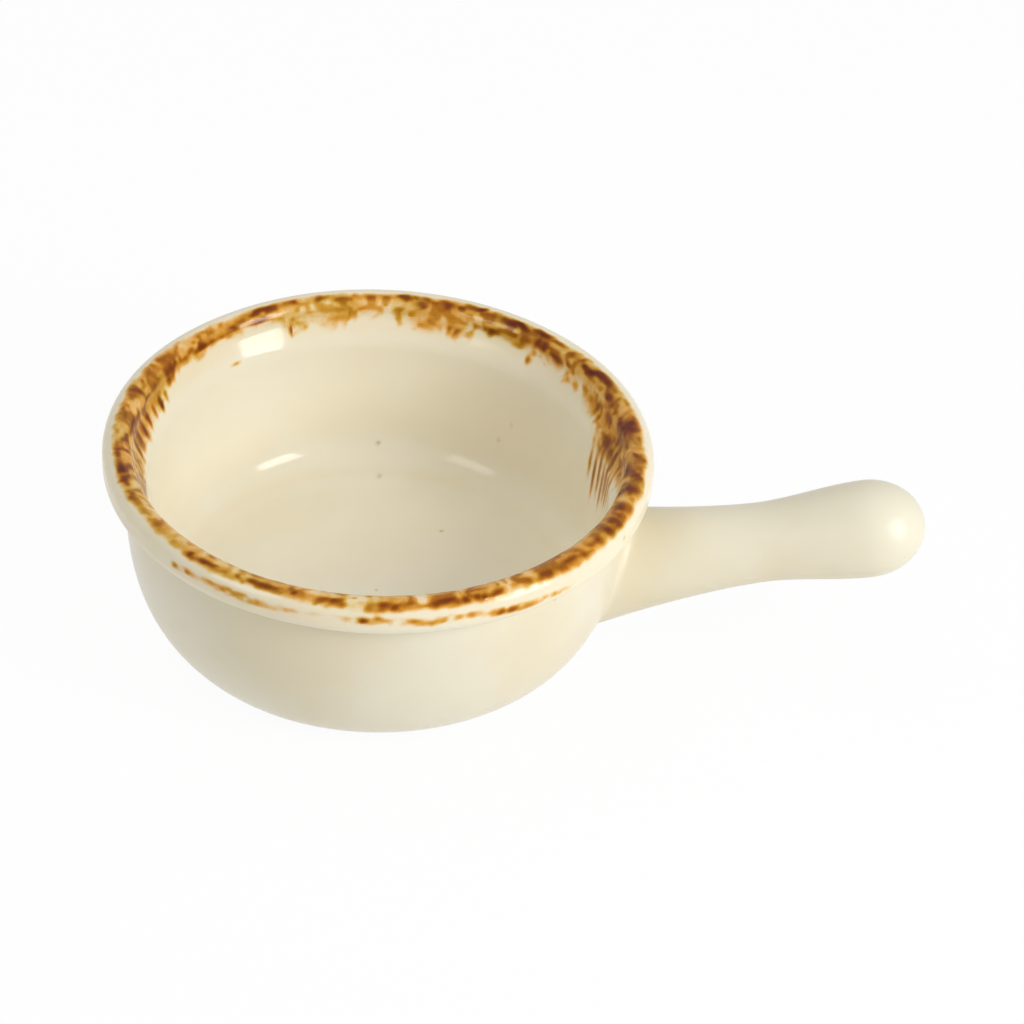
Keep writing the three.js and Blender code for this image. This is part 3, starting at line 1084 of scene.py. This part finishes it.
@dataclass
class GlazedHandle:
    """The stick handle's coat, from a small fillet on the wall to the knob's tip."""

    outline: BowlOutline
    axis_x: float
    tilt: float = math.radians(14.6)
    height: float = 21.4
    reach: float = 70.23
    root_radius: float = 12.55
    root_taper: float = 1.6
    waist_radius: float = 9.25
    waist_reach: float = 32.0
    knob_radius: float = 11.25
    knob_reach: float = 57.0
    fillet: float = 2.6
    fillet_search: Span = (-12.0, 25.0)
    halvings: int = 40
    glaze_thickness: float = 0.5
    cover_margin: float = 1.5
    cover_from: float = -8.0
    slope_step: float = 0.02
    tip_margin: float = 0.05
    columns: int = 160
    fillet_rows: int = 14
    stick_rows: int = 110
    end_rows: int = 40
    wall_stations: int = 1500

    def __post_init__(self) -> None:
        """Works out the handle's axis and the two directions square to it."""
        self.root = np.array([self.axis_x + self.outline.wall_radius, 0.0, self.height])
        self.axis = np.array([math.cos(self.tilt), 0.0, math.sin(self.tilt)])
        self.side = np.array([0.0, 1.0, 0.0])
        self.rise = np.array([-math.sin(self.tilt), 0.0, math.cos(self.tilt)])

    def radius(self, reach: Array) -> Array:
        """Radius along the axis: a power taper to the waist, an eased swell to the knob, then an ellipse."""
        left = np.maximum(1.0 - reach / self.waist_reach, 0.0) ** self.root_taper
        grown = ease(reach, self.waist_reach, self.knob_reach)
        past = np.clip((reach - self.knob_reach) / (self.reach - self.knob_reach), 0.0, 1.0)
        taper = self.waist_radius + (self.root_radius - self.waist_radius) * left
        swell = self.waist_radius + (self.knob_radius - self.waist_radius) * grown
        end = self.knob_radius * np.sqrt(1.0 - past * past)
        return np.where(reach < self.waist_reach, taper, np.where(reach < self.knob_reach, swell, end))

    def spoke(self, turn: Array) -> Array:
        """Directions square to the axis, at an angle round it."""
        return np.cos(turn)[..., None] * self.side + np.sin(turn)[..., None] * self.rise

    def point(self, reach: Array, turn: Array) -> Array:
        """Points of the finished stick: the axis at this reach, and the radius square to it."""
        return self.root + reach[..., None] * self.axis + self.radius(reach)[..., None] * self.spoke(turn)

    def normal(self, reach: Array, turn: Array) -> Array:
        """Outward normals of the stick, from the slope of its radius."""
        step = self.slope_step
        slope = (self.radius(reach + step) - self.radius(reach - step)) / (2.0 * step)
        return unit(self.spoke(turn) - slope[..., None] * self.axis)

    def covers(self, points: Array) -> Array:
        """True for points well inside the stick, where the wall's coat is open."""
        offset = points - self.root
        reach = offset @ self.axis
        apart = np.linalg.norm(offset - reach[..., None] * self.axis, axis=-1)
        beside = points[..., 0] > self.axis_x
        return beside & (apart < self.radius(np.maximum(reach, self.cover_from)) - self.cover_margin)

    def wall_foot(self, points: Array) -> tuple[Array, Array]:
        """The nearest point of the bowl's wall and its outward normal, for each point.

        The wall is round the bowl's axis, so the nearest point lies in the half plane through the point: it
        is the closest of the wall's section points there.

        Args:
            points: Points near the wall.

        Returns:
            The nearest points and the normals there.
        """
        along = np.linspace(self.outline.foot, self.outline.notch, self.wall_stations)
        radius, height = self.outline.place(along)
        out, up = self.outline.normal(along)
        flat = np.hypot(points[..., 0] - self.axis_x, points[..., 1])
        gaps = (flat[..., None] - radius) ** 2 + (points[..., 2, None] - height) ** 2
        best = np.argmin(gaps, axis=-1)
        cosine, sine = (points[..., 0] - self.axis_x) / flat, points[..., 1] / flat
        foot = np.stack([self.axis_x + radius[best] * cosine, radius[best] * sine, height[best]], axis=-1)
        return foot, np.stack([out[best] * cosine, out[best] * sine, up[best]], axis=-1)

    def fillet_start(self, turn: Array) -> Array:
        """Reach at which a ball on the stick also touches the wall, found by halving for each angle."""
        low, high = (np.full_like(turn, end) for end in self.fillet_search)
        for _ in range(self.halvings):
            middle = (low + high) / 2.0
            centre = self.point(middle, turn) + self.fillet * self.normal(middle, turn)
            foot, facing = self.wall_foot(centre)
            free = np.einsum("...i,...i", centre - foot, facing) > self.fillet
            low, high = np.where(free, low, middle), np.where(free, middle, high)
        return (low + high) / 2.0

    def patch(self) -> Patch:
        """The handle's face: a rolling ball's fillet on the wall, then the stick to its tip.

        The ball touches the stick and the wall; between the two touching points each row turns about the
        ball's centre, by slerp of the two directions.

        Returns:
            The patch from the wall to the tip.
        """
        turn = full_turn(self.columns)
        start = self.fillet_start(turn)
        touch, facing = self.point(start, turn), self.normal(start, turn)
        centre = touch + self.fillet * facing
        _, wall_facing = self.wall_foot(centre)
        share = np.linspace(0.0, 1.0, self.fillet_rows)[:, None]
        angle = np.arccos(np.clip(np.einsum("ij,ij->i", wall_facing, facing), -1.0, 1.0))
        spread = np.sin(angle) + TINY
        from_wall, from_stick = np.sin((1.0 - share) * angle) / spread, np.sin(share * angle) / spread
        fillet_normals = from_wall[..., None] * wall_facing + from_stick[..., None] * facing
        fillet_points = centre - self.fillet * fillet_normals
        share = np.linspace(0.0, 1.0, self.stick_rows)[1:, None]
        stick = start + (self.knob_reach - start) * share
        lean = np.linspace(0.0, math.pi / 2, self.end_rows)[1:, None]
        end = self.knob_reach + (self.reach - self.knob_reach) * np.sin(lean) * np.ones_like(turn)
        reaches = np.concatenate([stick, end])
        turns = np.broadcast_to(turn, reaches.shape)
        normals = self.normal(np.minimum(reaches, self.reach - self.tip_margin), turns)
        normals[-1] = self.axis
        points = np.concatenate([fillet_points, self.point(reaches, turns)])
        return Patch(points, np.concatenate([fillet_normals, normals]), end_pole=True)

    def build(self) -> bpy.types.Object:
        """The handle's coat as a shell."""
        return shell("glazed_handle", self.patch(), self.glaze_thickness)


# The studio


@dataclass(frozen=True)
class Lamp:
    """A soft oblong lamp: its place, sides in metres and power, and whether it lights or only glints."""

    name: str
    place: tuple[float, float, float]
    width: float
    height: float
    watts: float
    glints: bool = False


@dataclass
class Studio:
    """Camera, lights and the pale floor, in metres on the part's axes."""

    target: tuple[float, float, float] = (-0.00057, 0.01009, 0.025)
    distance: float = 1.0
    elevation: float = math.radians(36.77)
    azimuth: float = math.radians(2.0)
    roll: float = math.radians(3.25)
    lens: float = 150.05
    sensor: float = 36.0
    floor_size: float = 4.0
    floor_grey: Colour = (0.93, 0.93, 0.93)
    floor_glow: float = 0.95
    ambient: float = 0.42
    lamps: tuple[Lamp, ...] = (
        Lamp("key", (0.72, -0.46, 0.54), 0.5, 0.5, 6.3),
        Lamp("fill", (-0.70, -0.30, 0.75), 0.9, 0.9, 1.5),
        Lamp("rear", (-0.38, 0.32, 0.92), 0.7, 0.7, 1.4),
        Lamp("glint", (0.80, -0.45, 0.37), 0.38, 0.62, 15.0, glints=True),
        Lamp("far_glint", (-0.66, -0.58, 0.47), 0.40, 0.40, 3.4, glints=True),
    )

    def camera(self) -> None:
        """A camera at the photograph's angle: back from the target, with a small roll."""
        across, ahead = math.cos(self.azimuth), math.sin(self.azimuth)
        level = math.cos(self.elevation)
        right = Vector((across, ahead, 0.0))
        back = Vector((ahead * level, -across * level, math.sin(self.elevation)))
        rolled = right * math.cos(self.roll) + back.cross(right) * math.sin(self.roll)
        data = bpy.data.cameras.new("camera")
        data.lens = self.lens
        data.sensor_width = self.sensor
        camera = add_object("camera", data)
        axes = Matrix((rolled, back.cross(rolled), back)).transposed().to_4x4()
        camera.matrix_world = Matrix.Translation(Vector(self.target) + back * self.distance) @ axes
        bpy.context.scene.camera = camera

    def hang(self, lamp: Lamp) -> None:
        """Puts up one lamp, aimed at the bowl."""
        data = bpy.data.lights.new(lamp.name, "AREA")
        data.shape = "RECTANGLE"
        data.size = lamp.width
        data.size_y = lamp.height
        data.energy = lamp.watts
        made = add_object(lamp.name, data)
        made.location = lamp.place
        made.visible_diffuse = not lamp.glints
        made.visible_glossy = lamp.glints
        aim = Vector(self.target) - Vector(lamp.place)
        made.rotation_euler = aim.to_track_quat("-Z", "Y").to_euler()

    def sky(self) -> None:
        """An even white world, full strength where it is seen and softer as light."""
        sheet = ShaderSheet(bpy.context.scene.world)
        strength = sheet.seen() * (1.0 - self.ambient) + self.ambient
        light = sheet.node("ShaderNodeBackground", {}, {"Color": _rgba(WHITE), "Strength": strength})
        sheet.output(light["Background"], "ShaderNodeOutputWorld")

    def floor(self) -> None:
        """A pale floor that looks nearly white and keeps the bowl's shadow."""
        half = self.floor_size / 2.0
        mesh = bpy.data.meshes.new("floor")
        corners = [(-half, -half, 0.0), (half, -half, 0.0), (half, half, 0.0), (-half, half, 0.0)]
        mesh.from_pydata(corners, [], [(0, 1, 2, 3)])
        floor = add_object("floor", mesh)
        material = bpy.data.materials.new("pale_floor")
        sheet = ShaderSheet(material)
        lit = sheet.node("ShaderNodeBsdfDiffuse", {}, {"Color": _rgba(self.floor_grey)})["BSDF"]
        glow = sheet.node("ShaderNodeEmission", {}, {"Color": _rgba(WHITE), "Strength": 1.0})["Emission"]
        share = sheet.seen() * self.floor_glow
        sheet.output(sheet.node("ShaderNodeMixShader", {}, {0: share, 1: lit, 2: glow})["Shader"])
        mesh.materials.append(material)

    def build(self) -> None:
        """Sets up the whole studio."""
        scene = bpy.context.scene
        scene.view_settings.view_transform = "Standard"
        scene.world = scene.world or bpy.data.worlds.new("world")
        self.camera()
        self.sky()
        self.floor()
        for lamp in self.lamps:
            self.hang(lamp)


def dress_node(node: Node, material: bpy.types.Material) -> None:
    """Gives a node that stays as it is its own material."""
    made = frame["nodes"][node.value]
    made.data.materials.clear()
    made.data.materials.append(material)
    log.info("%s stays, dressed as %s", node.value, material.name)


def main() -> None:
    """Builds the studio, the bowl and the handle, and dresses every piece."""
    logging.basicConfig(level=logging.INFO, format="%(name)s: %(message)s")
    Studio().build()
    low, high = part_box(Node.RIM.value)
    axis_x = (low.x + high.x) / 2.0 / MM
    outline = BowlOutline(rim_radius=(high.y - low.y) / 2.0 / MM, height=high.z / MM)
    handle = GlazedHandle(outline, axis_x)
    bowl = GlazedBowl(outline, axis_x)
    brown = BrownOverGlaze("brown_over_cream_glaze", roughness=0.28).make()
    # Painted light: the inside and rim glaze is a lighter copy of the outside cream, standing in for light
    # inside the bowl.
    inner_cream_painted_lighter, inner_warm_painted_lighter = (0.88, 0.835, 0.685), (0.86, 0.795, 0.625)
    pale = BrownOverGlaze("inner_glaze_painted_lighter", cream=inner_cream_painted_lighter, warm=inner_warm_painted_lighter, gloss=0.15).make()
    cream = CreamGlaze("cream_glaze", roughness=0.32, gloss=0.15).make()
    clay = FiredClay("buff_stoneware").make()
    slip = FiredClay("fired_slip", buff=(0.52, 0.40, 0.26), toasted=(0.40, 0.29, 0.17)).make()
    finishes = {Node.OUTSIDE: brown, Node.RIM: pale, Node.INSIDE: pale, Node.BASE: cream}
    for node, made in bowl.build_coats(handle).items():
        finish_piece(made, node, finishes[node])
    finish_piece(handle.build(), Node.HANDLE_GLAZE, cream)
    finish_piece(bowl.build_body(), Node.BODY, clay)
    dress_node(Node.HANDLE, clay)
    dress_node(Node.SLIP, slip)


if __name__ == "__main__":
    main()
